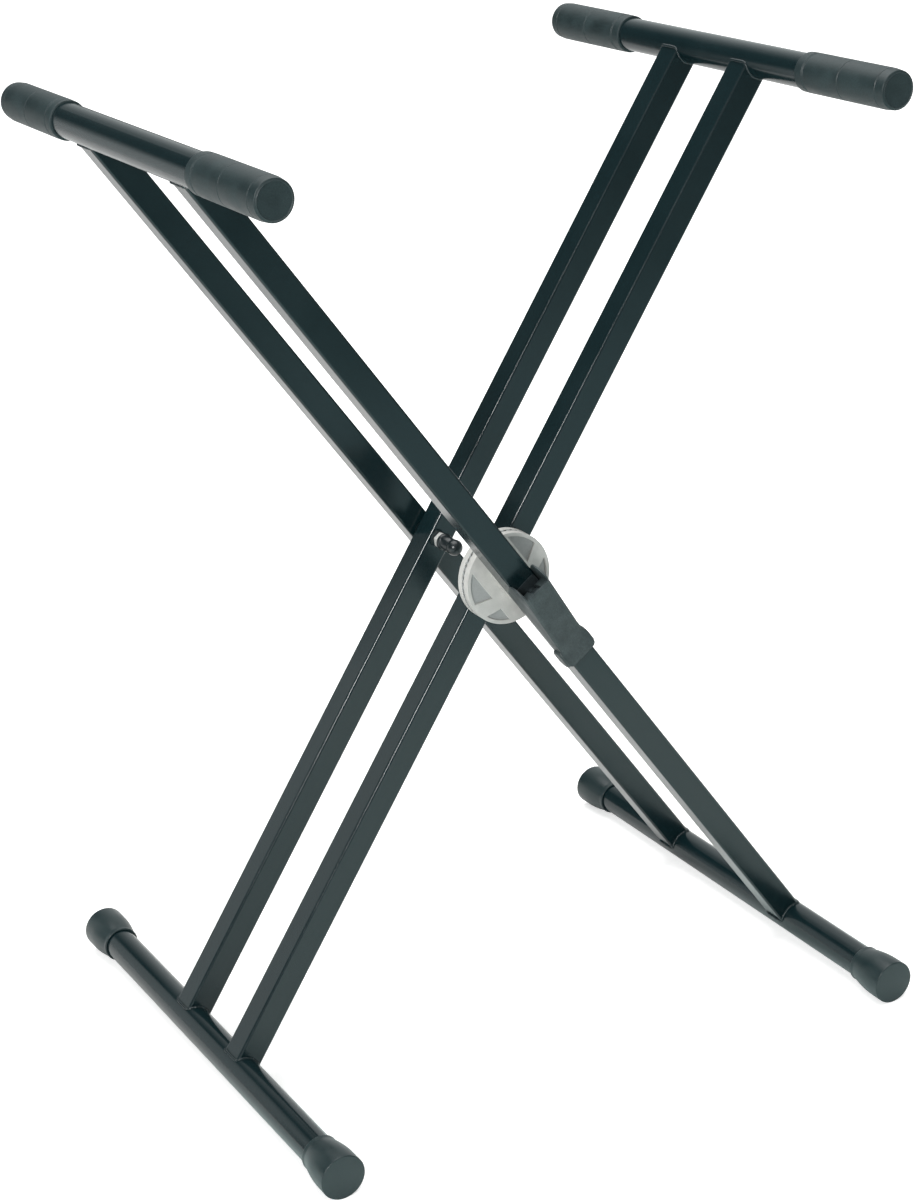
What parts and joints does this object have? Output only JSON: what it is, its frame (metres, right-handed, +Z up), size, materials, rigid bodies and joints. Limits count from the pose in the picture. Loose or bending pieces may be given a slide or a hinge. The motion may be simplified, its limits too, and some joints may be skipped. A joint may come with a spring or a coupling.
{
  "type": "folding keyboard stand",
  "caption": "Double-braced folding stand for an electronic keyboard: two crossed square-tube frames, rubber-sleeved support bars, toothed-disc clamp with a cam lever.",
  "frame": {"origin": "on the floor, midway between the four feet, under the fold axis", "axes": "+Z up, +Y from the clamp lever's side to the rear, +X to the right as seen from the lever's side; the fold axis runs along Y"},
  "size_m": [0.6098, 0.5244, 0.8596],
  "materials": {
    "painted_tube": "glossy black powder coat",
    "rubber": "matte black rubber",
    "boot_rubber": "satin black rubber",
    "cast_disc": "bead-blasted light grey casting",
    "lever_plastic": "dark grey textured moulding",
    "zinc": "zinc-plated steel",
    "spring_steel": "oiled spring steel",
    "pad_steel": "plain zinc-plated pad",
    "cap_plastic": "soft black cap",
    "spacer_nylon": "black nylon washer"
  },
  "bodies": {
    "outer_frame": {"outer_support_bar": "painted_tube", "outer_foot_bar": "painted_tube", "outer_front_leg": "painted_tube", "outer_rear_leg": "painted_tube", "outer_front_sleeve": "rubber", "outer_front_foot": "boot_rubber", "outer_rear_sleeve": "rubber", "outer_rear_foot": "boot_rubber", "outer_toothed_disc": "cast_disc", "release_spring": "spring_steel", "cam_pad": "pad_steel", "rear_pivot_bolt": "zinc", "rear_head_washer": "zinc", "rear_leg_spacer": "spacer_nylon", "rear_pivot_nut": "zinc", "rear_bolt_cap": "cap_plastic"},
    "clamp_bolt": {"clamp_eye_bolt": "zinc", "clamp_washer": "zinc", "clamp_nut": "zinc"},
    "inner_frame": {"inner_support_bar": "painted_tube", "inner_foot_bar": "painted_tube", "inner_front_leg": "painted_tube", "inner_rear_leg": "painted_tube", "inner_front_sleeve": "rubber", "inner_front_foot": "boot_rubber", "inner_rear_sleeve": "rubber", "inner_rear_foot": "boot_rubber", "inner_toothed_disc": "cast_disc"},
    "clamp_lever": {"clamp_lever": "lever_plastic", "lever_pin": "zinc"}
  },
  "joints": [
    {"name": "clamp_release", "type": "slide", "parent": "outer_frame", "child": "clamp_bolt", "axis": [0, 1, 0], "range_m": [0, 0.00159]},
    {"name": "fold", "type": "hinge", "parent": "clamp_bolt", "child": "inner_frame", "pos_m": [0, 0, 0.43137], "axis": [0, 1, 0], "range_deg": [-64.5, 40.6]},
    {"name": "lever_swing", "type": "hinge", "parent": "clamp_bolt", "child": "clamp_lever", "pos_m": [0, -0.1234, 0.43137], "axis": [-0.8221, 0, -0.5693], "range_deg": [0, 70]}
  ],
  "couplings": [
    {"joint": "lever_swing", "follows": "clamp_release", "rad_per_m": 769.23}
  ]
}
